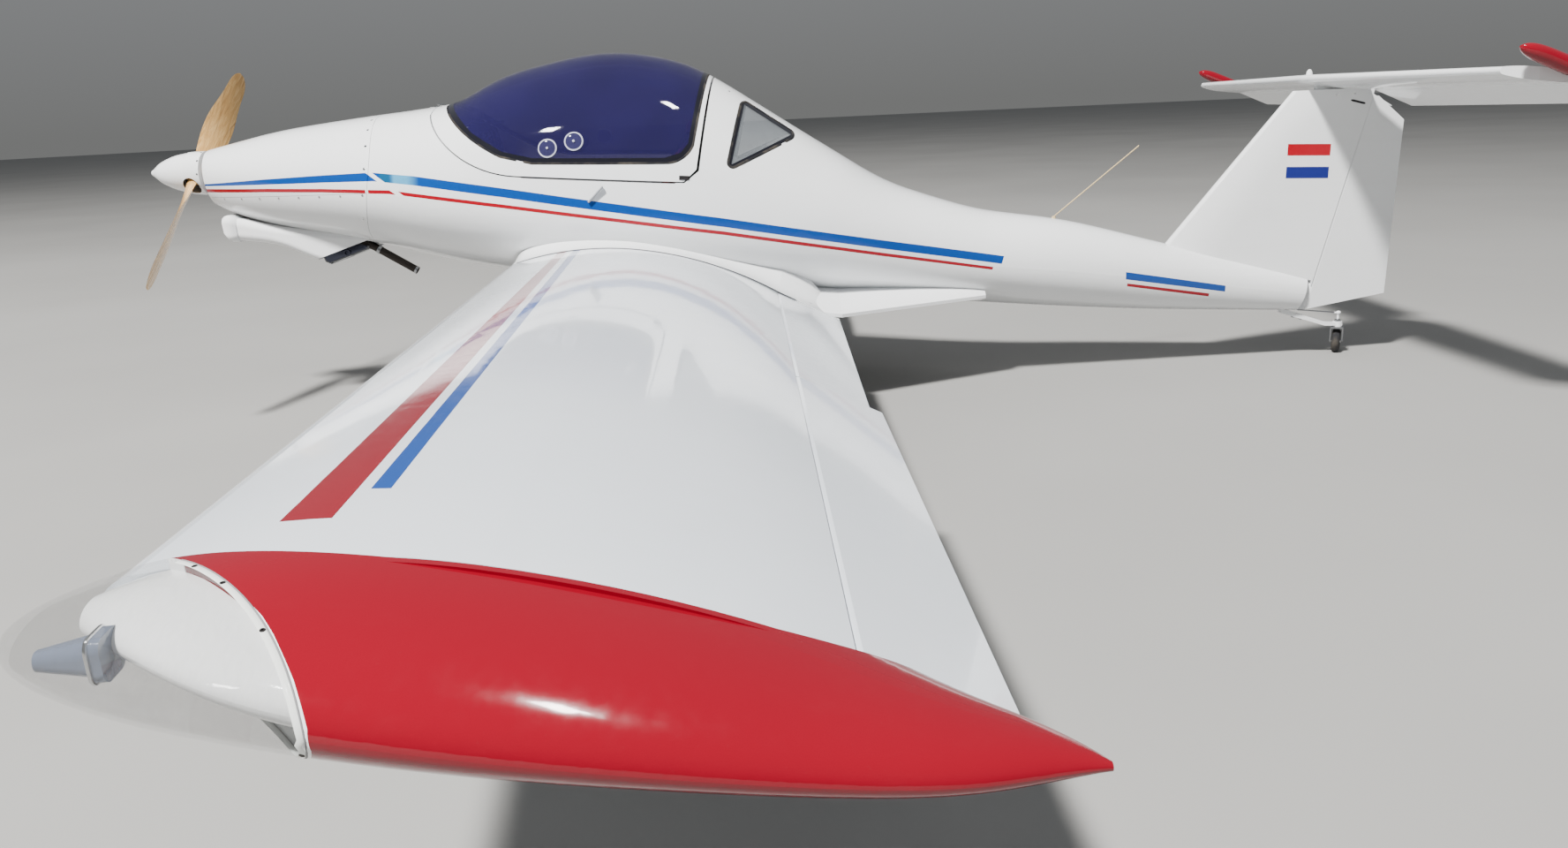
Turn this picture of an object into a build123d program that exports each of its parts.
from build123d import *
import os
from math import sqrt, sin, cos, tan, radians, degrees, atan2, pi

os.makedirs("parts", exist_ok=True)

# ---------------------------------------------------------------------------
# Two-seat low-wing microlight aircraft with a T-tail, standing on its wheels.
# Millimetres.  Nose towards -Y, +X is the aircraft's left wing, +Z up, floor
# at z = 0.  Lengthwise places are counted aft from the tip of the spinner and
# moved by HALF_LENGTH, so that the origin lies under the middle of the whole.
# ---------------------------------------------------------------------------
HALF_LENGTH = 3205.0      # spinner tip to the middle of the aircraft
GAP = 6.0                 # seam round each moving panel
WALL = 22.0               # sandwich wall of the fuselage
GLASS = 6.0               # blown canopy sheet
# joint between cowling and fuselage in the side view, which is the firewall as well: y, z
COWL_JOINT = [(1156, 760), (1166, 880), (1206, 1000), (1234, 1115), (1250, 1210), (1254, 1300), (1243, 1400), (1226, 1500)]
JOINT_GAP = 2.0
CABIN_REAR_Y = 3330.0     # rear bulkhead of the luggage bay

def Y(y):
    return y - HALF_LENGTH

def station(y):
    """upright plane across the aircraft, local x = +X, local y = +Z"""
    return Plane(origin=(0, Y(y), 0), x_dir=(1, 0, 0), z_dir=(0, -1, 0))

def rib(x):
    """upright plane along the aircraft, local x = +Y, local y = +Z"""
    return Plane(origin=(x, 0, 0), x_dir=(0, 1, 0), z_dir=(1, 0, 0))

def level(z):
    """level plane, local x = +X, local y = +Y"""
    return Plane(origin=(0, 0, z), x_dir=(1, 0, 0), z_dir=(0, 0, 1))

def oval(w, top, bottom, mid, cx=0.0):
    """four quarter-ellipse arcs: half width w at height mid"""
    with BuildLine() as ln:
        EllipticalCenterArc((cx, mid), w, top - mid, 0, arc_size=90)
        EllipticalCenterArc((cx, mid), w, top - mid, 90, arc_size=90)
        EllipticalCenterArc((cx, mid), w, mid - bottom, 180, arc_size=90)
        EllipticalCenterArc((cx, mid), w, mid - bottom, 270, arc_size=90)
    make_face(ln.edges())

# --- fuselage body: stations ------------------------------------------------
# y (aft of spinner tip), top, bottom, half width, height of greatest width
FUSELAGE = [
    (318, 1338, 1062, 122, 1214),
    (480, 1372, 985, 205, 1198),
    (700, 1414, 918, 290, 1176),
    (930, 1442, 868, 352, 1150),
    (1154, 1464, 826, 400, 1120),
    (1577, 1506, 715, 475, 1062),
    (1900, 1636, 655, 520, 1018),
    (2390, 1713, 582, 552, 950),
    (2700, 1668, 543, 548, 910),
    (2900, 1576, 520, 532, 880),
    (3090, 1456, 500, 505, 850),
    (3310, 1310, 476, 465, 815),
    (3530, 1168, 454, 420, 772),
    (3760, 1028, 430, 372, 715),
    (3990, 938, 402, 328, 655),
    (4250, 858, 374, 284, 600),
    (4660, 786, 332, 228, 545),
    (5200, 640, 288, 158, 460),
    (5990, 420, 244, 62, 335),
]

def body_row(y):
    """station at y: smooth curve through the table, no overshoot"""
    i = max(0, min(len(FUSELAGE) - 2, sum(1 for r in FUSELAGE if r[0] <= y) - 1))
    p, q = FUSELAGE[i], FUSELAGE[i + 1]
    h = q[0] - p[0]
    t = (y - p[0]) / h
    out = [y]
    for k in range(1, 5):
        d = (q[k] - p[k]) / h
        slopes = []
        for j in (i, i + 1):
            if 0 < j < len(FUSELAGE) - 1:
                u, v, w = FUSELAGE[j - 1], FUSELAGE[j], FUSELAGE[j + 1]
                d0, d1 = (v[k] - u[k]) / (v[0] - u[0]), (w[k] - v[k]) / (w[0] - v[0])
                slopes.append(0.0 if d0 * d1 <= 0 else 2 * d0 * d1 / (d0 + d1))
            else:
                slopes.append(d)
        m0, m1 = slopes
        out.append((2 * t ** 3 - 3 * t ** 2 + 1) * p[k] + (t ** 3 - 2 * t ** 2 + t) * h * m0
                   + (3 * t ** 2 - 2 * t ** 3) * q[k] + (t ** 3 - t ** 2) * h * m1)
    return tuple(out)


BODY_STATIONS = 40        # evenly spaced from the cowling's front to the tail
BODY = [body_row(FUSELAGE[0][0] + (FUSELAGE[-1][0] - FUSELAGE[0][0]) * i / (BODY_STATIONS - 1)) for i in range(BODY_STATIONS)]


def inset(row, t):
    y, top, bottom, w, mid = row
    return y, top - t, bottom + t, w - t, mid

with BuildPart() as hull:                       # outer shape, cowl to tail
    for y, top, bottom, w, mid in BODY:
        with BuildSketch(station(y)):
            oval(w, top, bottom, mid)
    loft()

with BuildPart() as hull_inner:                 # inner face of the wall
    for y, top, bottom, w, mid in [inset(r, WALL) for r in BODY]:
        with BuildSketch(station(y)):
            oval(w, top, bottom, mid)
    loft()

with BuildPart() as hull_glazing:               # inner face of the glazing
    for y, top, bottom, w, mid in [inset(r, GLASS) for r in BODY]:
        with BuildSketch(station(y)):
            oval(w, top, bottom, mid)
    loft()

# --- wing: ribs -------------------------------------------------------------
HINGE = 0.815             # hinge line of flaps and ailerons, share of chord
ROOT_X, SPLIT_X, TIP_X = 620.0, 2550.0, 4450.0
HINGE_CLEAR = 5.0
# x, leading edge y z, trailing edge y z, nose u v, crest v, upper at hinge,
# lower nose v, lower v, lower at hinge (u, v: shares of the chord)
RIBS = [
    (ROOT_X, 1880, 680, 3466, 424, 0.040, 0.062, 0.141, 0.062, -0.026, -0.040, -0.020),
    (TIP_X, 2255, 800, 3510, 570, 0.036, 0.051, 0.112, 0.058, -0.024, -0.038, -0.018),
]

def rib_at(x):
    a, b = RIBS
    t = (x - a[0]) / (b[0] - a[0])
    return tuple(p + (q - p) * t for p, q in zip(a, b))

def rib_point(r, u, v):
    """point of a rib's plane from chord shares"""
    ly, lz, ty, tz = r[1:5]
    return (Y(ly + u * (ty - ly) - v * (tz - lz)), lz + u * (tz - lz) + v * (ty - ly))

def chord(r):
    return sqrt((r[3] - r[1]) ** 2 + (r[4] - r[2]) ** 2)

def rib_hinge(r):
    """hinge centre (share of chord) and half thickness (share) at a rib"""
    return (r[8] + r[11]) / 2, (r[8] - r[11]) / 2

def nose_face(r, back=None):
    """wing rib from the leading edge to the cove ahead of the hinge"""
    c = chord(r)
    mid, half = rib_hinge(r)
    if back is None:
        rw = half + 1.5 / c
        dx = sqrt(rw * rw - half * half)
        end_u = HINGE - dx
    else:
        end_u = back
    le = rib_point(r, 0, 0)
    up = tuple(q - p for p, q in zip(le, rib_point(r, 0, 0.1)))
    with BuildLine() as ln:
        a1 = TangentArc(le, rib_point(r, r[5], r[6]), tangent=up)
        a2 = TangentArc(a1 @ 1, rib_point(r, 0.40, r[7]), tangent=a1 % 1)
        a3 = TangentArc(a2 @ 1, rib_point(r, end_u, mid + half), tangent=a2 % 1)
        b1 = TangentArc(le, rib_point(r, 0.025, r[9]), tangent=(-up[0], -up[1]))
        b2 = TangentArc(b1 @ 1, rib_point(r, 0.35, r[10]), tangent=b1 % 1)
        b3 = TangentArc(b2 @ 1, rib_point(r, end_u, mid - half), tangent=b2 % 1)
        if back is None:
            ThreePointArc(a3 @ 1, rib_point(r, HINGE - rw, mid), b3 @ 1)
        else:
            Line(a3 @ 1, b3 @ 1)
    make_face(ln.edges())

def tail_face(r, te_thick=3.0, short=0.0):
    """flap or aileron rib: round nose about the hinge, thin trailing edge"""
    c = chord(r)
    mid, half = rib_hinge(r)
    rf = half + (1.5 - HINGE_CLEAR) / c
    e = te_thick / 2 / c
    with BuildLine() as ln:
        n = ThreePointArc(rib_point(r, HINGE, mid + rf), rib_point(r, HINGE - rf, mid),
                          rib_point(r, HINGE, mid - rf))
        l1 = Line(n @ 1, rib_point(r, 1 - short / c, -e))
        l2 = Line(l1 @ 1, rib_point(r, 1 - short / c, e))
        Line(l2 @ 1, n @ 0)
    make_face(ln.edges())

def full_face(r, grow=0.0):
    """whole rib, raised by grow millimetres on top"""
    c = chord(r)
    le = rib_point(r, 0, 0)
    up = tuple(q - p for p, q in zip(le, rib_point(r, 0, 0.1)))
    g = grow / c
    mid, half = rib_hinge(r)
    with BuildLine() as ln:
        a1 = TangentArc(le, rib_point(r, r[5], r[6] + g * 0.5), tangent=up)
        a2 = TangentArc(a1 @ 1, rib_point(r, 0.40, r[7] + g), tangent=a1 % 1)
        a3 = TangentArc(a2 @ 1, rib_point(r, HINGE, mid + half + g * 0.7), tangent=a2 % 1)
        l1 = Line(a3 @ 1, rib_point(r, 1, 0.002))
        b1 = TangentArc(le, rib_point(r, 0.025, r[9]), tangent=(-up[0], -up[1]))
        b2 = TangentArc(b1 @ 1, rib_point(r, 0.35, r[10]), tangent=b1 % 1)
        b3 = TangentArc(b2 @ 1, rib_point(r, HINGE, mid - half), tangent=b2 % 1)
        l2 = Line(b3 @ 1, rib_point(r, 1, -0.002))
        Line(l1 @ 1, l2 @ 1)
    make_face(ln.edges())

def hinge_xyz(x):
    r = rib_at(x)
    p = rib_point(r, HINGE, rib_hinge(r)[0])
    return Vector(x, p[0], p[1])

HINGE_DIR = (hinge_xyz(TIP_X) - hinge_xyz(ROOT_X)).normalized()

def across_hinge(x):
    return Plane(origin=hinge_xyz(x), z_dir=HINGE_DIR)

with BuildPart() as wing_left:
    for x in (ROOT_X, TIP_X):
        with BuildSketch(rib(x)):
            nose_face(rib_at(x))
    loft(ruled=True)
    # tie-down lug under the wing, a plate along the flight direction
    LUG_X, LUG_Y = 2700.0, 2560.0
    with BuildSketch(rib(LUG_X - 5)):
        with Locations((Y(LUG_Y), 600)):
            SlotCenterToCenter(70, 50, rotation=90)
        with Locations((Y(LUG_Y), 568)):
            Circle(11, mode=Mode.SUBTRACT)
    extrude(amount=10)
wing_left.part.label = "wing_left"

with BuildPart() as flap_left:
    for x in (ROOT_X, SPLIT_X + 60):
        with BuildSketch(rib(x)):
            tail_face(rib_at(x), short=35.0 * (x - ROOT_X) / (SPLIT_X - ROOT_X))
    loft(ruled=True)
    split(bisect_by=across_hinge(ROOT_X + 16), keep=Keep.TOP)
    split(bisect_by=across_hinge(SPLIT_X - 5), keep=Keep.BOTTOM)
flap_left.part.label = "flap_left"

with BuildPart() as aileron_left:
    for x in (SPLIT_X - 60, TIP_X + 20):
        with BuildSketch(rib(x)):
            tail_face(rib_at(x))
    loft(ruled=True)
    split(bisect_by=across_hinge(SPLIT_X + 5), keep=Keep.TOP)
    split(bisect_by=across_hinge(TIP_X - 6), keep=Keep.BOTTOM)
aileron_left.part.label = "aileron_left"

# --- wing tip body: stations ------------------------------------------------
# y, centre x, centre z, half width, half height
TIP_BODY = [
    (2212, 4562, 822, 10, 8),
    (2252, 4545, 820, 82, 40),
    (2330, 4515, 813, 158, 64),
    (2430, 4478, 803, 232, 82),
    (2600, 4450, 779, 288, 96),
    (2850, 4450, 737, 300, 92),
    (3050, 4468, 697, 268, 78),
    (3250, 4520, 655, 188, 58),
    (3430, 4575, 626, 96, 36),
    (3585, 4612, 606, 7, 6),
]
TIP_FACE_X = TIP_X + 2.0
COVER_WALL = 5.0

with BuildPart() as tip_shape:
    for y, cx, cz, w, h in TIP_BODY:
        with BuildSketch(station(y)):
            oval(w, cz + h, cz - h, cz, cx)
    loft()
with BuildPart() as tip_inner:
    for y, cx, cz, w, h in TIP_BODY[1:6]:
        with BuildSketch(station(y + 4)):
            oval(w - COVER_WALL, cz + h - COVER_WALL, cz - h + COVER_WALL, cz, cx)
    loft()

# the clear cover meets the red body along a slanted round cut
with BuildPart() as cover_zone:
    with BuildSketch(level(500)):
        with BuildLine():
            l1 = Polyline((TIP_FACE_X, Y(2368)), (TIP_FACE_X, Y(2100)), (4900, Y(2100)), (4900, Y(2720)))
            ThreePointArc((4900, Y(2720)), (4640, Y(2582)), (TIP_FACE_X, Y(2368)))
        make_face()
    extrude(amount=600)

# white fairing inside the clear cover, moulded with the tip body
# y, centre x, centre z, half width, half height
INNER_TIP = [
    (2286, 4492, 821, 40, 25),
    (2430, 4470, 818, 170, 50),
    (2576, 4452, 793, 250, 68),
    (2722, 4450, 770, 268, 78),
]
with BuildPart() as inner_tip:
    for y, cx, cz, w, h in INNER_TIP:
        with BuildSketch(station(y)):
            oval(w, cz + h, cz - h, cz, cx)
    loft()

with BuildPart() as wing_tip_left:
    add(tip_shape.part)
    # end rib beside the aileron, the inner wall of the cove
    with BuildSketch(rib(TIP_FACE_X)):
        full_face(rib_at(TIP_X))
    extrude(amount=14)
    with BuildSketch(rib(TIP_FACE_X)):
        Rectangle(4000, 4000)
    extrude(amount=-700, mode=Mode.SUBTRACT)
    add(cover_zone.part, mode=Mode.SUBTRACT)
    add(inner_tip.part)
    with BuildSketch(rib(TIP_FACE_X)):
        Rectangle(4000, 4000)
    extrude(amount=-700, mode=Mode.SUBTRACT)
wing_tip_left.part.label = "wing_tip_left"

with BuildPart() as tip_light_cover_left:
    add(tip_shape.part)
    add(tip_inner.part, mode=Mode.SUBTRACT)
    add(cover_zone.part, mode=Mode.INTERSECT)
    with BuildSketch(rib(TIP_FACE_X)):
        Rectangle(4000, 4000)
    extrude(amount=-700, mode=Mode.SUBTRACT)
tip_light_cover_left.part.label = "tip_light_cover_left"

# lamp under the clear cover, on the outer corner of the white fairing
LAMP_DIR = Vector(0.14, -0.99, 0.0).normalized()
LAMP_BASE = Vector(4600, Y(2366), 818)

def lamp_plane(d):
    return Plane(origin=LAMP_BASE + LAMP_DIR * d, x_dir=(LAMP_DIR.Y, -LAMP_DIR.X, 0), z_dir=LAMP_DIR)

with BuildPart() as tip_lamp_left:
    with BuildSketch(lamp_plane(0)):
        RectangleRounded(62, 58, 16)
    extrude(amount=16)
    with BuildSketch(lamp_plane(16)):
        RectangleRounded(54, 50, 20)
    with BuildSketch(lamp_plane(84)):
        RectangleRounded(28, 26, 12.5)
    loft()
    add(inner_tip.part, mode=Mode.SUBTRACT)
tip_lamp_left.part.label = "tip_lamp_left"

# --- wing root fairing and strake, part of the fuselage ----------------------
# x, extra height on top
FAIRING = [(ROOT_X - 6, 0.0), (540, 16.0), (470, 55.0), (400, 130.0), (330, 240.0)]
with BuildPart() as root_fairing:
    for x, g in FAIRING:
        with BuildSketch(rib(x)):
            full_face(rib_at(ROOT_X), grow=g)
    loft()
with BuildPart() as strake:
    # y, outer x, inner x, top, bottom
    for y, xo, xi, top, bottom in ((3300, 612, 200, 500, 440), (3480, 606, 200, 470, 415),
                                   (4230, 262, 150, 480, 405)):
        with BuildSketch(station(y)):
            with BuildLine():
                Polyline((xi, bottom), (xo, (top + bottom) / 2 - 8), (xo, (top + bottom) / 2 + 8), (xi, top + 60), close=True)
            make_face()
    loft(ruled=True)

# --- cabin openings, seen from the side --------------------------------------
CANOPY_TILT_MAX = 50.0
# hinge axis of the canopy, along the top of its front edge
CANOPY_HINGE = (1522.0, 1505.0)

with BuildPart() as canopy_zone:                # what lifts with the canopy
    with BuildSketch(rib(-900)):
        with BuildLine():
            p0 = (Y(1525), 1700)
            p1 = (Y(1525), 1455)
            p2 = (Y(1660), 1290)
            p3 = (Y(1985), 1160)
            p4 = (Y(2760), 1098)
            p5 = (Y(2822), 1150)
            p6 = (Y(2925), 1700)
            Line(p0, p1)
            a = ThreePointArc(p1, p2, p3)
            Line(p3, p4)
            Line(p4, p5)
            Line(p5, p6)
            Line(p6, p0)
        make_face()
    extrude(amount=1800)

with BuildPart() as canopy_hole:                # the same, wider by the seam, most at the rear where it swings out
    with BuildSketch(rib(-900)):
        with BuildLine():
            q0 = (Y(1525 - GAP), 1760)
            q1 = (Y(1525 - GAP), 1455 - 3)
            q2 = (Y(1660 - 4.5), 1290 - 5)
            q3 = (Y(1985 - 1), 1160 - GAP)
            q4 = (Y(2760 + 3), 1098 - GAP)
            q5 = (Y(2834), 1144)
            q6 = (Y(2944), 1760)
            Line(q0, q1)
            ThreePointArc(q1, q2, q3)
            Line(q3, q4)
            Line(q4, q5)
            Line(q5, q6)
            Line(q6, q0)
        make_face()
    extrude(amount=1800)

with BuildPart() as glass_zone:                 # outline of the tinted sheet
    with BuildSketch(rib(-900)):
        with BuildLine():
            g0 = (Y(1577), 1800)
            g1 = (Y(1577), 1506)
            g2 = (Y(1750), 1344)
            g3 = (Y(1905), 1250)
            g4 = (Y(2055), 1214)
            g5 = (Y(2680), 1187)
            g6 = (Y(2812), 1260)
            g7 = (Y(2894), 1640)
            g8 = (Y(2894), 1800)
            Line(g0, g1)
            ThreePointArc(g1, g2, g3)
            ga = Line(g3, g4)
            Line(g4, g5)
            ThreePointArc(g5, (Y(2765), 1208), g6)
            Line(g6, g7)
            Line(g7, g8)
            Line(g8, g0)
        make_face()
    extrude(amount=1800)

with BuildPart() as window_zone:                # rear side windows
    with BuildSketch(rib(-900)):
        with BuildLine():
            Polyline((Y(3046), 1461), (Y(3314), 1278), (Y(2962), 1136), close=True)
        make_face()
        fillet(vertices(), 22)
    extrude(amount=1800)

# --- cabin cavity -------------------------------------------------------------
def ahead_of_joint(shift):
    """outline of everything ahead of the cowling's joint"""
    with BuildLine() as ln:
        c = Spline(*[(Y(y + shift), z) for y, z in COWL_JOINT])
        Polyline(c @ 1, (Y(200), 1900), (Y(200), 500), c @ 0)
    make_face(ln.edges())

with BuildPart() as cabin_space:
    add(hull_inner.part)
    with BuildSketch(rib(-900)):
        ahead_of_joint(WALL)
    extrude(amount=1800, mode=Mode.SUBTRACT)
    with BuildSketch(station(CABIN_REAR_Y)):
        Rectangle(3000, 5000)
    extrude(amount=-4000, mode=Mode.SUBTRACT)

RUDDER_FOOT = Vector(0, Y(5976), 262)
RUDDER_HEAD = Vector(0, Y(6221), 1260)
RUDDER_DIR = (RUDDER_HEAD - RUDDER_FOOT).normalized()

def rudder_hinge_y(z):
    t = (z - RUDDER_FOOT.Z) / (RUDDER_HEAD.Z - RUDDER_FOOT.Z)
    return RUDDER_FOOT.Y + t * (RUDDER_HEAD.Y - RUDDER_FOOT.Y)

# plane across the aircraft that holds the rudder hinge, facing aft
AFT_CUT = Plane(origin=RUDDER_FOOT + Vector(0, -42, 0), x_dir=(1, 0, 0), z_dir=Vector(0, RUDDER_DIR.Z, -RUDDER_DIR.Y))

with BuildPart() as fuselage_shell:
    add(hull.part)
    with BuildSketch(rib(-900)):
        ahead_of_joint(0)
    extrude(amount=1800, mode=Mode.SUBTRACT)
    split(bisect_by=AFT_CUT, keep=Keep.BOTTOM)
    add(root_fairing.part)
    add(mirror(root_fairing.part, about=Plane.YZ, mode=Mode.PRIVATE))
    add(strake.part)
    add(mirror(strake.part, about=Plane.YZ, mode=Mode.PRIVATE))
    add(cabin_space.part, mode=Mode.SUBTRACT)
    add(canopy_hole.part, mode=Mode.SUBTRACT)
    add(window_zone.part, mode=Mode.SUBTRACT)
fuselage_shell.part.label = "fuselage_shell"

with BuildPart() as canopy_glass:
    add(hull.part)
    add(hull_glazing.part, mode=Mode.SUBTRACT)
    add(glass_zone.part, mode=Mode.INTERSECT)
canopy_glass.part.label = "canopy_glass"

with BuildPart() as canopy_frame:
    add(hull.part)
    add(hull_inner.part, mode=Mode.SUBTRACT)
    add(canopy_zone.part, mode=Mode.INTERSECT)
    add(glass_zone.part, mode=Mode.SUBTRACT)
canopy_frame.part.label = "canopy_frame"

with BuildPart() as rear_windows:
    add(hull.part)
    add(hull_glazing.part, mode=Mode.SUBTRACT)
    add(window_zone.part, mode=Mode.INTERSECT)
rear_windows.part.label = "rear_windows"

# --- engine cowling, engine, radiator duct ------------------------------------
COWL_WALL = 8.0
with BuildPart() as cowl_space:
    for y, top, bottom, w, mid in [inset(r, COWL_WALL) for r in BODY]:
        with BuildSketch(station(y)):
            oval(w, top, bottom, mid)
    loft()
    with BuildSketch(station(FUSELAGE[0][0] + COWL_WALL)):
        Rectangle(3000, 5000)
    extrude(amount=600, mode=Mode.SUBTRACT)

THRUST_TIP = Vector(0, Y(0), 1237)
THRUST_DIR = Vector(0, cos(radians(2.5)), -sin(radians(2.5)))
PROP_R = 800.0
HUB_AT = 238.0            # propeller disc, aft of the spinner tip
SPINNER_LEN = 298.0
SPINNER_R = 110.0

def thrust_plane(d):
    return Plane(origin=THRUST_TIP + THRUST_DIR * d, x_dir=(1, 0, 0), z_dir=THRUST_DIR)

with BuildPart() as engine_cowling:
    add(hull.part)
    with BuildSketch(rib(-900)):
        ahead_of_joint(-JOINT_GAP)
    extrude(amount=1800, mode=Mode.INTERSECT)
    add(cowl_space.part, mode=Mode.SUBTRACT)
    # hole for the propeller shaft
    with BuildSketch(thrust_plane(280)):
        Circle(60)
    extrude(amount=160, mode=Mode.SUBTRACT)
    # air inlet under the spinner
    with BuildSketch(Plane(origin=(0, Y(300), 1092), x_dir=(1, 0, 0), z_dir=(0, -1, 0))):
        Ellipse(66, 16)
    extrude(amount=-60, mode=Mode.SUBTRACT)
    # cut-out for the exhaust
    with BuildSketch(level(760)):
        with Locations((120, Y(1085))):
            SlotCenterToCenter(140, 64, rotation=90)
    extrude(amount=180, mode=Mode.SUBTRACT)
engine_cowling.part.label = "engine_cowling"

CRANK_Z = 1222.0
with BuildPart() as engine_block:
    with BuildSketch(station(560)):             # reduction gear and front of the engine
        with Locations((0, CRANK_Z - 10)):
            RectangleRounded(190, 180, 20)
    extrude(amount=-140)
    with BuildSketch(station(700)):             # crankcase and cylinders
        with Locations((0, 1150)):
            RectangleRounded(400, 270, 30)
    extrude(amount=-400)
    # bearing of the propeller shaft
    SHAFT_R = 26.0
    with BuildSketch(thrust_plane(470)):
        Circle(60)
    extrude(amount=120)
    with BuildSketch(thrust_plane(460)):
        Circle(SHAFT_R + 0.05)
    extrude(amount=110, mode=Mode.SUBTRACT)
engine_block.part.label = "engine_block"

# y, half width, top, bottom of the belly duct
DUCT = [(372, 134, 1004, 886), (500, 146, 988, 880), (628, 166, 960, 861), (756, 184, 940, 817),
        (884, 197, 926, 764), (1012, 200, 914, 762), (1140, 200, 900, 790)]
# rounded, slightly flared lip of its inlet
DUCT_LIP = [(372, 136, 1006, 886), (410, 153, 1015, 880), (448, 143, 997, 880)]
DUCT_WALL = 8.0
with BuildPart() as duct_inner:
    for y, w, top, bottom in DUCT:
        with BuildSketch(station(y)):
            with Locations((0, (top + bottom) / 2)):
                RectangleRounded(2 * (w - DUCT_WALL), top - bottom - 2 * DUCT_WALL, 30)
    loft()
    with BuildSketch(station(DUCT[0][0] + 1)):
        with Locations((0, (DUCT[0][2] + DUCT[0][3]) / 2)):
            RectangleRounded(2 * (DUCT[0][1] - DUCT_WALL), DUCT[0][2] - DUCT[0][3] - 2 * DUCT_WALL, 30)
    extrude(amount=40)
with BuildPart() as duct_lip:
    for y, w, top, bottom in DUCT_LIP:
        with BuildSketch(station(y)):
            with Locations((0, (top + bottom) / 2)):
                RectangleRounded(2 * w, top - bottom, 40)
    loft()
with BuildPart() as radiator_duct:
    for y, w, top, bottom in DUCT:
        with BuildSketch(station(y)):
            with Locations((0, (top + bottom) / 2)):
                RectangleRounded(2 * w, top - bottom, 38)
    loft()
    add(duct_lip.part)
    add(duct_inner.part, mode=Mode.SUBTRACT)
    # slanting outlet
    with BuildSketch(rib(-400)):
        with BuildLine():
            Polyline((Y(848), 700), (Y(848), 780), (Y(1128), 868), (Y(1300), 960), (Y(1300), 700), close=True)
        make_face()
    extrude(amount=800, mode=Mode.SUBTRACT)
    # raked lip
    with BuildSketch(rib(-400)):
        with BuildLine():
            Polyline((Y(250), 1060), (Y(374), 1020), (Y(382), 930), (Y(420), 878), (Y(420), 800), (Y(250), 800), close=True)
        make_face()
    extrude(amount=800, mode=Mode.SUBTRACT)
    add(hull.part, mode=Mode.SUBTRACT)
    # the part that stays inside the cowling's shell is left out
    with BuildSketch(station(200)):
        with Locations((0, 1500)):
            Rectangle(800, 900)
    extrude(amount=-1200, mode=Mode.SUBTRACT)
radiator_duct.part.label = "radiator_duct"

# radiator hung in the outlet, its lower side stands below the duct's edge
with BuildPart() as radiator:
    with BuildSketch(rib(-160)):
        with BuildLine():
            Polyline((Y(868), 800), (Y(880), 764), (Y(902), 753), (Y(1098), 815), (Y(1112), 832), (Y(1098), 868), close=True)
        make_face()
    extrude(amount=320)
    with BuildSketch(rib(-200)):
        with BuildLine():
            Polyline(*[(Y(y), body_row(y)[2] - 2) for y in range(840, 1151, 31)], (Y(1150), 1100), (Y(840), 1100), close=True)
        make_face()
    extrude(amount=400, mode=Mode.SUBTRACT)
    # notch for the exhaust pipe
    with BuildSketch(level(700)):
        with Locations((120, Y(1085))):
            Rectangle(56, 110)
    extrude(amount=200, mode=Mode.SUBTRACT)
radiator.part.label = "radiator"

PIPE_R = 19.0
with BuildPart() as exhaust_pipe:
    with BuildLine() as pipe_path:
        FilletPolyline((120, Y(1010), 905), (120, Y(1085), 850), (120, Y(1330), 692), radius=90)
    with BuildSketch(Plane(origin=pipe_path.line @ 0, z_dir=pipe_path.line % 0)):
        Circle(PIPE_R)
    sweep(path=pipe_path.line)
    with BuildSketch(Plane(origin=pipe_path.line @ 1, z_dir=-1 * (pipe_path.line % 1))):
        Circle(PIPE_R - 2)
    extrude(amount=160, mode=Mode.SUBTRACT)
exhaust_pipe.part.label = "exhaust_pipe"

# --- propeller and spinner -----------------------------------------------------
# outline of the spinner: distance from the tip, radius
SPINNER_PROFILE = [(0, 0), (14, 19), (45, 44), (90, 69), (140, 88), (200, 101), (SPINNER_LEN - 6, SPINNER_R)]
with BuildPart() as spinner:
    prof = Plane(origin=THRUST_TIP, x_dir=THRUST_DIR, z_dir=Vector(1, 0, 0))
    with BuildSketch(prof):
        with BuildLine():
            s1 = Spline(*SPINNER_PROFILE, tangents=((0, 1), (1, 0.05)))
            Polyline(s1 @ 1, (SPINNER_LEN - 6, SPINNER_R - 5), (200, 95.5), (140, 82), (90, 62), (45, 35), (14, 0), (0, 0))
        make_face()
    revolve(axis=Axis(THRUST_TIP, THRUST_DIR))
    # rear plate of the spinner, with the hole for the hub
    with BuildSketch(thrust_plane(SPINNER_LEN - 10)):
        Circle(SPINNER_R - 4.5)
        Circle(72, mode=Mode.SUBTRACT)
    extrude(amount=4)
    # cut-outs for the two blades
    BLADE_ANGLE = 52.0        # upper blade leans from the vertical towards -X
    for turn in (0, 180):
        with BuildSketch(Plane(origin=THRUST_TIP + THRUST_DIR * HUB_AT, x_dir=THRUST_DIR,
                               z_dir=Vector(-sin(radians(BLADE_ANGLE)), cos(radians(BLADE_ANGLE)) * sin(radians(2.5)),
                                            cos(radians(BLADE_ANGLE)) * cos(radians(2.5))) * (1 if turn == 0 else -1))):
            Ellipse(44, 50)
        extrude(amount=130, mode=Mode.SUBTRACT)
spinner.part.label = "spinner"

# blade stations: radius, chord, thickness, pitch angle
BLADE = [(60, 70, 46, -62), (150, 108, 30, -45), (300, 148, 20, -33), (480, 142, 14, -24),
         (660, 112, 10, -19), (770, 74, 7, -17), (800, 32, 5, -16)]

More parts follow.
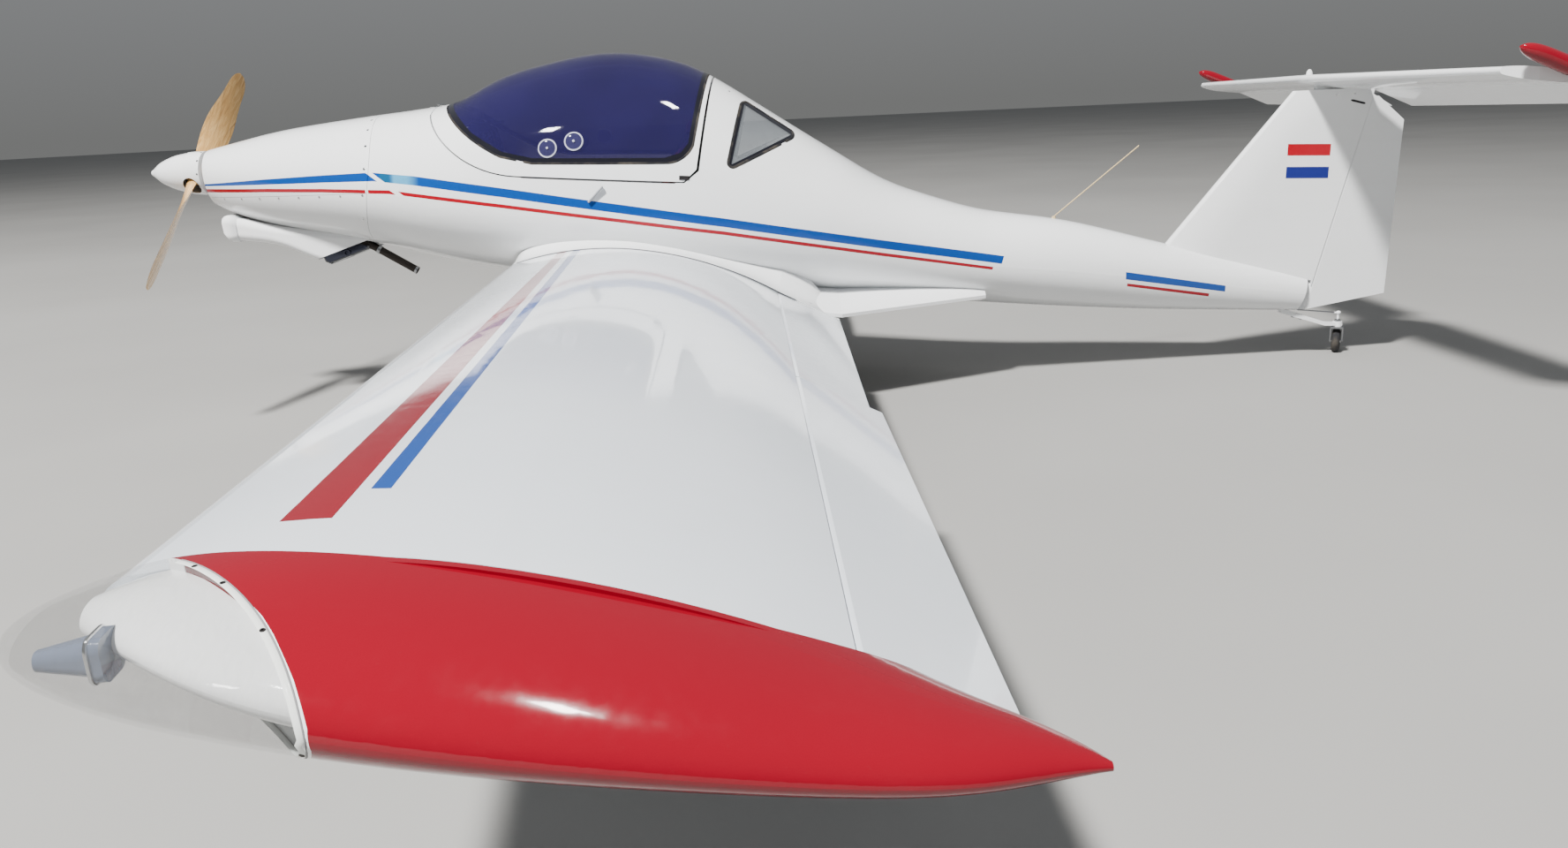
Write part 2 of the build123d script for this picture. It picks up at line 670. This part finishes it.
def blade_station(r, pitch, side_sign):
    """plane across a blade: z_dir along the blade, x_dir along its chord"""
    a = radians(BLADE_ANGLE)
    e_up = Vector(0, sin(radians(2.5)), cos(radians(2.5)))
    out = (Vector(-1, 0, 0) * sin(a) + e_up * cos(a)) * side_sign
    swing = THRUST_DIR.cross(out)
    c = radians(pitch)
    x_dir = swing * cos(c) + THRUST_DIR * sin(c)
    return Plane(origin=THRUST_TIP + THRUST_DIR * HUB_AT + out * r, x_dir=x_dir, z_dir=out)

with BuildPart() as blade_pair:
    for r, c, t, pitch in BLADE:
        with BuildSketch(blade_station(r, pitch, 1)):
            with BuildLine():
                u = ThreePointArc((-c / 2, 0), (0, -t * 0.75), (c / 2, 0))
                ThreePointArc(u @ 1, (0, t * 0.25), u @ 0)
            make_face()
    loft()
    add(blade_pair.part.rotate(Axis(THRUST_TIP, THRUST_DIR), 180))

with BuildPart() as propeller:
    with BuildSketch(thrust_plane(HUB_AT - 36)):
        Circle(62)
    extrude(amount=72)
    with BuildSketch(thrust_plane(HUB_AT + 36)):
        Circle(40)
    extrude(amount=190)
    with BuildSketch(thrust_plane(HUB_AT + 226)):
        Circle(SHAFT_R)
    extrude(amount=90)
    add(blade_pair.part)
propeller.part.label = "propeller"

# --- fin, rudder, tailplane, elevator -------------------------------------------
# z, leading edge y, half thickness, share of chord where thickest
FIN_ROWS = [(380, 5011, 50, 0.36), (1372, 5832, 34, 0.36)]
RUDDER_NOSE = (31.0, 21.0)      # nose radius at foot and head
FIN_TOP = 1372.0

def hinge_half(z):
    t = (z - 262) / (1260 - 262)
    return RUDDER_NOSE[0] + t * (RUDDER_NOSE[1] - RUDDER_NOSE[0])

with BuildPart() as fin:
    for z, le, half, share in FIN_ROWS:
        hy = rudder_hinge_y(z)
        hh = hinge_half(z) + 4.0
        rw = hinge_half(z) + 6.0
        dx = sqrt(rw * rw - hh * hh)
        c = hy - Y(le)
        with BuildSketch(level(z)):
            with BuildLine():
                f0 = (0, Y(le))
                r1 = TangentArc(f0, (half * 0.55, Y(le) + half * 0.46), tangent=(1, 0))
                r2 = TangentArc(r1 @ 1, (half, Y(le) + share * c), tangent=r1 % 1)
                r3 = TangentArc(r2 @ 1, (hh, hy - dx), tangent=r2 % 1)
                l1 = TangentArc(f0, (-half * 0.55, Y(le) + half * 0.46), tangent=(-1, 0))
                l2 = TangentArc(l1 @ 1, (-half, Y(le) + share * c), tangent=l1 % 1)
                l3 = TangentArc(l2 @ 1, (-hh, hy - dx), tangent=l2 % 1)
                ThreePointArc(r3 @ 1, (0, hy - rw), l3 @ 1)
            make_face()
    loft(ruled=True)
    add(hull.part, mode=Mode.SUBTRACT)
    # bracket that carries the tailplane
    with BuildSketch(level(FIN_TOP)):
        with Locations((0, Y(6040))):
            SlotCenterToCenter(180, 26, rotation=90)
    extrude(amount=40)
fin.part.label = "fin"

with BuildPart() as rudder:
    for z in (190, 1400):
        hy = rudder_hinge_y(z)
        rn = hinge_half(z)
        te = Y(6400 + 0.0123 * (z - 313))
        with BuildSketch(level(z)):
            with BuildLine():
                n = ThreePointArc((rn, hy), (0, hy - rn), (-rn, hy))
                a = Line(n @ 1, (-1.5, te))
                b = Line(a @ 1, (1.5, te))
                Line(b @ 1, n @ 0)
            make_face()
    loft(ruled=True)
    with BuildSketch(rib(-100)):                # foot and head of the rudder
        with BuildLine():
            Polyline((Y(5880), 250), (Y(5976), 254), (Y(6440), 322), (Y(6440), 1184), (Y(6411), 1207),
                     (Y(6262), 1330), (Y(6150), 1330), (Y(5880), 500), close=True)
        make_face()
    extrude(amount=200, mode=Mode.INTERSECT)
rudder.part.label = "rudder"

# tailplane: chord line from the leading edge to the elevator hinge
TAIL_HINGE_Y, TAIL_HINGE_Z = 6188.0, 1384.0
TAIL_HALF = 1540.0
ELEV_NOSE = 17.0
# x, leading edge y, leading edge z, half thickness
TAIL_ROWS = [(0, 5868, 1432, 30), (TAIL_HALF, 5925, 1424, 24)]

def tail_section(le_y, le_z, half, hy, hz, rn):
    """tailplane rib up to the cove of the elevator"""
    c = sqrt((hy - le_y) ** 2 + (hz - le_z) ** 2)
    ex = ((hy - le_y) / c, (hz - le_z) / c)
    ez = (-ex[1], ex[0])

    def pt(u, v):
        return (Y(le_y + u * ex[0] + v * ez[0]), le_z + u * ex[1] + v * ez[1])

    rw = rn + 5.5
    hh = rn + 3.5
    dx = sqrt(rw * rw - hh * hh)
    with BuildLine() as ln:
        u1 = TangentArc(pt(0, 0), pt(half * 0.5, half * 0.6), tangent=ez)
        u2 = TangentArc(u1 @ 1, pt(0.5 * c, half), tangent=u1 % 1)
        u3 = TangentArc(u2 @ 1, pt(c - dx, hh), tangent=u2 % 1)
        d1 = TangentArc(pt(0, 0), pt(half * 0.5, -half * 0.6), tangent=(-ez[0], -ez[1]))
        d2 = TangentArc(d1 @ 1, pt(0.5 * c, -half), tangent=d1 % 1)
        d3 = TangentArc(d2 @ 1, pt(c - dx, -hh), tangent=d2 % 1)
        ThreePointArc(u3 @ 1, pt(c - rw, 0), d3 @ 1)
    make_face(ln.edges())

with BuildPart() as tailplane:
    for x, ly, lz, half in (TAIL_ROWS[1], TAIL_ROWS[0]):
        with BuildSketch(rib(x)):
            tail_section(ly, lz, half, TAIL_HINGE_Y, TAIL_HINGE_Z, ELEV_NOSE)
    loft(ruled=True)
    # raked tip: the outer end is cut on a slant
    with BuildSketch(level(1200)):
        with BuildLine():
            Polyline((TAIL_HALF - 45, Y(5890)), (TAIL_HALF, Y(6050)), (TAIL_HALF, Y(6260)), (TAIL_HALF + 50, Y(6260)),
                     (TAIL_HALF + 50, Y(5850)), (TAIL_HALF - 45, Y(5850)), close=True)
        make_face()
    extrude(amount=400, mode=Mode.SUBTRACT)
    mirror(about=Plane.YZ)
    add(fin.part, mode=Mode.SUBTRACT)
tailplane.part.label = "tailplane"

# elevator, parked trailing edge down
ELEV_TE_Y, ELEV_TE_Z = 6392.0, 1276.0
with BuildPart() as elevator:
    for x in (95.0, TAIL_HALF + 6.0):
        rn = ELEV_NOSE
        dy, dz = ELEV_TE_Y - TAIL_HINGE_Y, ELEV_TE_Z - TAIL_HINGE_Z
        k = 1.0 if x < 200 else 0.90
        te_y, te_z = TAIL_HINGE_Y + k * dy, TAIL_HINGE_Z + k * dz
        c = sqrt(dy * dy + dz * dz)
        ex, ez = (dy / c, dz / c), (-dz / c, dy / c)
        with BuildSketch(rib(x)):
            with BuildLine():
                n = ThreePointArc((Y(TAIL_HINGE_Y + rn * ez[0]), TAIL_HINGE_Z + rn * ez[1]),
                                  (Y(TAIL_HINGE_Y - rn * ex[0]), TAIL_HINGE_Z - rn * ex[1]),
                                  (Y(TAIL_HINGE_Y - rn * ez[0]), TAIL_HINGE_Z - rn * ez[1]))
                a = Line(n @ 1, (Y(te_y - 1.5 * ez[0]), te_z - 1.5 * ez[1]))
                b = Line(a @ 1, (Y(te_y + 1.5 * ez[0]), te_z + 1.5 * ez[1]))
                Line(b @ 1, n @ 0)
            make_face()
    loft(ruled=True)
    mirror(about=Plane.YZ)
    # torque tube that joins the two halves
    with BuildSketch(rib(-100)):
        with Locations((Y(TAIL_HINGE_Y), TAIL_HINGE_Z)):
            Circle(11)
    extrude(amount=200)
elevator.part.label = "elevator"

# red balance horns at the elevator's tips
# y, centre z, radius
HORN = [(5935, 1504, 4), (5956, 1497, 22), (6010, 1476, 34), (6100, 1438, 36), (6220, 1388, 28), (6350, 1322, 10)]
HORN_X = TAIL_HALF + 46.0
with BuildPart() as elevator_horns:
    for y, z, r in HORN:
        with BuildSketch(Plane(origin=(HORN_X, Y(y), z), x_dir=(1, 0, 0), z_dir=(0, -cos(radians(26)), sin(radians(26))))):
            Ellipse(r, r * 0.9)
    loft()
    # arm from the elevator's end
    with BuildSketch(rib(TAIL_HALF + 6)):
        with BuildLine():
            Polyline((Y(6165), 1384), (Y(6200), 1400), (Y(6340), 1322), (Y(6330), 1308), (Y(6200), 1368), close=True)
        make_face()
    extrude(amount=30)
    mirror(about=Plane.YZ)
elevator_horns.part.label = "elevator_horns"

# --- landing gear -----------------------------------------------------------------
TYRE_R, TYRE_W = 178.0, 104.0
WHEEL_X, WHEEL_Y = 905.0, 1935.0
AXLE_R = 15.0
RIM_R = 82.0
RUN = 0.05                # radial running clearance of a wheel on its axle

with BuildPart() as gear_leg_left:
    # x, y, z centre of the leaf, half width (fore and aft), half thickness
    for x, y, z, hw, ht in ((250, 1990, 640, 70, 16), (480, 1972, 500, 58, 13), (700, 1950, 340, 46, 11), (822, 1938, 214, 36, 11)):
        with BuildSketch(Plane(origin=(x, Y(y), z), x_dir=(0, 1, 0), z_dir=(cos(radians(-34)), 0, sin(radians(-34))))):
            SlotCenterToCenter(2 * (hw - ht), 2 * ht)
    loft()
    with BuildSketch(rib(812)):                 # axle flange
        with Locations((Y(WHEEL_Y), 190)):
            RectangleRounded(84, 96, 14)
    extrude(amount=16)
    with BuildSketch(rib(828)):
        with Locations((Y(WHEEL_Y), TYRE_R)):
            Circle(24)
    extrude(amount=12)
    with BuildSketch(rib(840)):
        with Locations((Y(WHEEL_Y), TYRE_R)):
            Circle(AXLE_R)
    extrude(amount=128)
    with BuildSketch(rib(968)):                 # axle nut
        with Locations((Y(WHEEL_Y), TYRE_R)):
            RegularPolygon(22, 6)
    extrude(amount=12)
    add(hull.part, mode=Mode.SUBTRACT)
    add(root_fairing.part, mode=Mode.SUBTRACT)
gear_leg_left.part.label = "gear_leg_left"

with BuildPart() as main_rim_left:
    with BuildSketch(Plane(origin=(WHEEL_X, Y(WHEEL_Y), TYRE_R), x_dir=(1, 0, 0), z_dir=(0, -1, 0))):
        with BuildLine():
            Polyline((-50, AXLE_R + RUN), (-50, 30), (-14, 34), (-12, 62), (-46, 72), (-48, 86), (-42, 90), (-36, RIM_R), (36, RIM_R),
                     (42, 90), (48, 86), (46, 72), (12, 62), (14, 34), (56, 30), (56, AXLE_R + RUN), close=True)
        make_face()
    revolve(axis=Axis((WHEEL_X, Y(WHEEL_Y), TYRE_R), (1, 0, 0)))
main_rim_left.part.label = "main_rim_left"

with BuildPart() as main_tyre_left:
    with BuildSketch(Plane(origin=(WHEEL_X, Y(WHEEL_Y), TYRE_R), x_dir=(1, 0, 0), z_dir=(0, -1, 0))):
        with BuildLine():
            t0 = Line((-36, RIM_R), (36, RIM_R))
            t1 = Line(t0 @ 1, (42, 90.5))
            t2 = ThreePointArc(t1 @ 1, (TYRE_W / 2, 128), (38, 165))
            t3 = ThreePointArc(t2 @ 1, (0, TYRE_R), (-38, 165))
            t4 = ThreePointArc(t3 @ 1, (-TYRE_W / 2, 128), (-42, 90.5))
            Line(t4 @ 1, t0 @ 0)
        make_face()
    revolve(axis=Axis((WHEEL_X, Y(WHEEL_Y), TYRE_R), (1, 0, 0)))
main_tyre_left.part.label = "main_tyre_left"

# tail wheel, turned sideways as it came to rest
TW_R, TW_W = 64.0, 42.0
CASTER_Y = 6168.0
CASTER_TURN = 62.0        # degrees from straight
TRAIL = 34.0
with BuildPart() as tail_spring:
    with BuildSketch(rib(-17)):
        with BuildLine():
            Polyline((Y(5850), 256), (Y(5885), 250), (Y(6100), 174), (Y(6186), 168), (Y(6186), 152), (Y(6094), 156), (Y(5850), 236), close=True)
        make_face()
    extrude(amount=34)
    with BuildSketch(level(146)):
        with Locations((0, Y(CASTER_Y))):
            Circle(23)
    extrude(amount=28)
    with BuildSketch(level(140)):
        with Locations((0, Y(CASTER_Y))):
            Circle(10 + RUN)
    extrude(amount=60, mode=Mode.SUBTRACT)
    add(hull.part, mode=Mode.SUBTRACT)
tail_spring.part.label = "tail_spring"

# frame of the swivelling fork: x_dir is the wheel's axle, local y points to the trail
TURN = radians(CASTER_TURN)
AXLE_DIR = Vector(cos(TURN), sin(TURN), 0)
TRAIL_DIR = Vector(-sin(TURN), cos(TURN), 0)
CASTER_FOOT = Vector(0, Y(CASTER_Y), 0)
TW_CENTRE = CASTER_FOOT + TRAIL_DIR * TRAIL + Vector(0, 0, TW_R)

with BuildPart() as tailwheel_fork:
    with BuildSketch(Plane(origin=CASTER_FOOT + Vector(0, 0, 136), x_dir=AXLE_DIR, z_dir=(0, 0, 1))):
        RectangleRounded(64, 46, 10)
    extrude(amount=9.7)
    with BuildSketch(Plane(origin=CASTER_FOOT + Vector(0, 0, 136), x_dir=AXLE_DIR, z_dir=(0, 0, 1))):
        Circle(10)
    extrude(amount=50)
    with BuildSketch(Plane(origin=CASTER_FOOT + Vector(0, 0, 174.3), x_dir=AXLE_DIR, z_dir=(0, 0, 1))):
        Circle(16)
    extrude(amount=8)
    for s in (-1, 1):
        with BuildSketch(Plane(origin=CASTER_FOOT + AXLE_DIR * (s * 29 - 3), x_dir=TRAIL_DIR, z_dir=AXLE_DIR)):
            with BuildLine():
                Polyline((-22, 138), (22, 138), (TRAIL + 14, TW_R), (TRAIL, TW_R - 14), (TRAIL - 12, TW_R - 4), close=True)
            make_face()
        extrude(amount=6)
    with BuildSketch(Plane(origin=TW_CENTRE - AXLE_DIR * 34, x_dir=TRAIL_DIR, z_dir=AXLE_DIR)):
        Circle(6)
    extrude(amount=68)
tailwheel_fork.part.label = "tailwheel_fork"

TW_PLANE = Plane(origin=TW_CENTRE, x_dir=AXLE_DIR, z_dir=AXLE_DIR.cross(Vector(0, 0, 1)))
with BuildPart() as tailwheel_hub:
    with BuildSketch(TW_PLANE):
        with BuildLine():
            Polyline((-23, 6 + RUN), (-23, 14), (-17, 16), (-17, 30), (17, 30), (17, 16), (23, 14), (23, 6 + RUN), close=True)
        make_face()
    revolve(axis=Axis(TW_CENTRE, AXLE_DIR))
tailwheel_hub.part.label = "tailwheel_hub"

with BuildPart() as tailwheel_tyre:
    with BuildSketch(TW_PLANE):
        with BuildLine():
            w0 = Line((-17, 30), (17, 30))
            w1 = ThreePointArc(w0 @ 1, (TW_W / 2, 44), (15, 59))
            w2 = ThreePointArc(w1 @ 1, (0, TW_R), (-15, 59))
            w3 = ThreePointArc(w2 @ 1, (-TW_W / 2, 44), w0 @ 0)
        make_face()
    revolve(axis=Axis(TW_CENTRE, AXLE_DIR))
tailwheel_tyre.part.label = "tailwheel_tyre"

# --- cabin ---------------------------------------------------------------------
with BuildPart() as cabin_floor:
    with BuildSketch(rib(-330)):
        with BuildLine():
            Polyline((Y(1214), 926), (Y(1450), 862), (Y(2230), 742), (Y(2230), 732), (Y(1450), 850), (Y(1214), 914), close=True)
        make_face()
    extrude(amount=660)
    add(hull_inner.part, mode=Mode.INTERSECT)
cabin_floor.part.label = "cabin_floor"

with BuildPart() as spar_box:
    with BuildSketch(rib(-560)):
        with BuildLine():
            Polyline((Y(2235), 640), (Y(2235), 775), (Y(2330), 775), (Y(2330), 640), close=True)
        make_face()
    extrude(amount=1120)
    add(hull_inner.part, mode=Mode.INTERSECT)
spar_box.part.label = "spar_box"

SEAT_X, SEAT_W = 228.0, 404.0
with BuildPart() as seat_left:
    with BuildSketch(rib(SEAT_X - SEAT_W / 2)):
        with BuildLine():
            Polyline((Y(2120), 880), (Y(2130), 795), (Y(2560), 776), (Y(2660), 790), (Y(2850), 1290), (Y(2838), 1380),
                     (Y(2790), 1384), (Y(2742), 1290), (Y(2575), 870), (Y(2300), 862), close=True)
        make_face()
        fillet(vertices(), 12)
    extrude(amount=SEAT_W)
    with BuildSketch(station(2000)):            # shoulders narrower than the seat
        with BuildLine():
            Polyline((SEAT_X - 260, 1180), (SEAT_X - 212, 1180), (SEAT_X - 120, 1330), (SEAT_X - 112, 1450), (SEAT_X - 260, 1450), close=True)
        make_face()
        with BuildLine():
            Polyline((SEAT_X + 260, 1180), (SEAT_X + 212, 1180), (SEAT_X + 120, 1330), (SEAT_X + 112, 1450), (SEAT_X + 260, 1450), close=True)
        make_face()
    extrude(amount=-1000, mode=Mode.SUBTRACT)
seat_left.part.label = "seat_left"

with BuildPart() as instrument_panel:
    with BuildSketch(station(1700)):
        with BuildLine():
            Polyline((-400, 1130), (-400, 1290), (-300, 1375), (-120, 1402), (120, 1402), (300, 1375), (400, 1290),
                     (400, 1130), (110, 1130), (90, 960), (-90, 960), (-110, 1130), close=True)
        make_face()
        fillet(vertices(), 14)
    extrude(amount=-14)
    with BuildSketch(rib(-380)):                # glare shield
        with BuildLine():
            Polyline((Y(1560), 1400), (Y(1750), 1412), (Y(1752), 1402), (Y(1560), 1390), close=True)
        make_face()
    extrude(amount=760)
    add(hull_inner.part, mode=Mode.INTERSECT)
instrument_panel.part.label = "instrument_panel"

with BuildPart() as control_sticks:
    for sx in (-SEAT_X, SEAT_X):
        with BuildLine() as stick_path:
            FilletPolyline((sx, Y(2085), 775), (sx, Y(2060), 930), (sx, Y(2020), 1080), radius=120)
        with BuildSketch(Plane(origin=stick_path.line @ 0, z_dir=stick_path.line % 0)):
            Circle(10)
        sweep(path=stick_path.line)
        with BuildSketch(Plane(origin=stick_path.line @ 1, z_dir=stick_path.line % 1)):
            Circle(17)
        extrude(amount=-110)
control_sticks.part.label = "control_sticks"

with BuildPart() as rudder_pedals:
    for px in (-308, -180, 180, 308):
        with BuildSketch(Plane(origin=(px, Y(1420), 985), x_dir=(1, 0, 0), z_dir=(0, -1, 0.35))):
            RectangleRounded(80, 120, 10)
        extrude(amount=12)
        with BuildSketch(Plane(origin=(px, Y(1420), 985), x_dir=(1, 0, 0), z_dir=(0, -0.5, -1))):
            Circle(7)
        extrude(amount=98)
rudder_pedals.part.label = "rudder_pedals"

with BuildPart() as whip_antenna:
    with BuildLine() as whip:
        Line((0, Y(4612), 785), (0, Y(5061), 1139))
    with BuildSketch(Plane(origin=whip.line @ 0, z_dir=whip.line % 0)):
        Circle(3.2)
    sweep(path=whip.line)
    with BuildSketch(Plane(origin=(0, Y(4630), 780), z_dir=(0, 0.1, 1))):
        Circle(16)
    extrude(amount=22, taper=20)
    add(hull.part, mode=Mode.SUBTRACT)
whip_antenna.part.label = "whip_antenna"

# grey grip lever on the left side, below the canopy's sill
with BuildPart() as side_lever:
    with BuildLine() as lever_path:
        Line((556, Y(2311), 1028), (556, Y(2384), 1096))
    with BuildSketch(Plane(origin=lever_path.line @ 0, z_dir=lever_path.line % 0)):
        Ellipse(5, 8)
    sweep(path=lever_path.line)
    for at in (0.08, 0.92):
        p = lever_path.line @ at
        with BuildSketch(Plane(origin=(500, p.Y, p.Z), z_dir=(1, 0, 0))):
            Circle(5)
        extrude(amount=56)
    add(hull.part, mode=Mode.SUBTRACT)
side_lever.part.label = "side_lever"

# --- write the pieces -------------------------------------------------------------
for name, solid in (("fuselage_shell", fuselage_shell), ("engine_cowling", engine_cowling), ("engine_block", engine_block),
                    ("radiator_duct", radiator_duct), ("radiator", radiator), ("exhaust_pipe", exhaust_pipe),
                    ("canopy_frame", canopy_frame), ("canopy_glass", canopy_glass), ("rear_windows", rear_windows),
                    ("spinner", spinner), ("propeller", propeller), ("fin", fin), ("rudder", rudder),
                    ("tailplane", tailplane), ("elevator", elevator), ("elevator_horns", elevator_horns),
                    ("tail_spring", tail_spring), ("tailwheel_fork", tailwheel_fork), ("tailwheel_hub", tailwheel_hub),
                    ("tailwheel_tyre", tailwheel_tyre), ("cabin_floor", cabin_floor), ("spar_box", spar_box),
                    ("instrument_panel", instrument_panel), ("control_sticks", control_sticks),
                    ("rudder_pedals", rudder_pedals), ("whip_antenna", whip_antenna), ("side_lever", side_lever)):
    solid.part.label = name
    export_step(solid.part, "parts/" + name + ".step")

for name, solid in (("wing", wing_left), ("flap", flap_left), ("aileron", aileron_left), ("wing_tip", wing_tip_left),
                    ("tip_light_cover", tip_light_cover_left), ("tip_lamp", tip_lamp_left), ("gear_leg", gear_leg_left),
                    ("main_rim", main_rim_left), ("main_tyre", main_tyre_left), ("seat", seat_left)):
    solid.part.label = name + "_left"
    export_step(solid.part, "parts/" + name + "_left.step")
    right = mirror(solid.part, about=Plane.YZ)
    right.label = name + "_right"
    export_step(right, "parts/" + name + "_right.step")
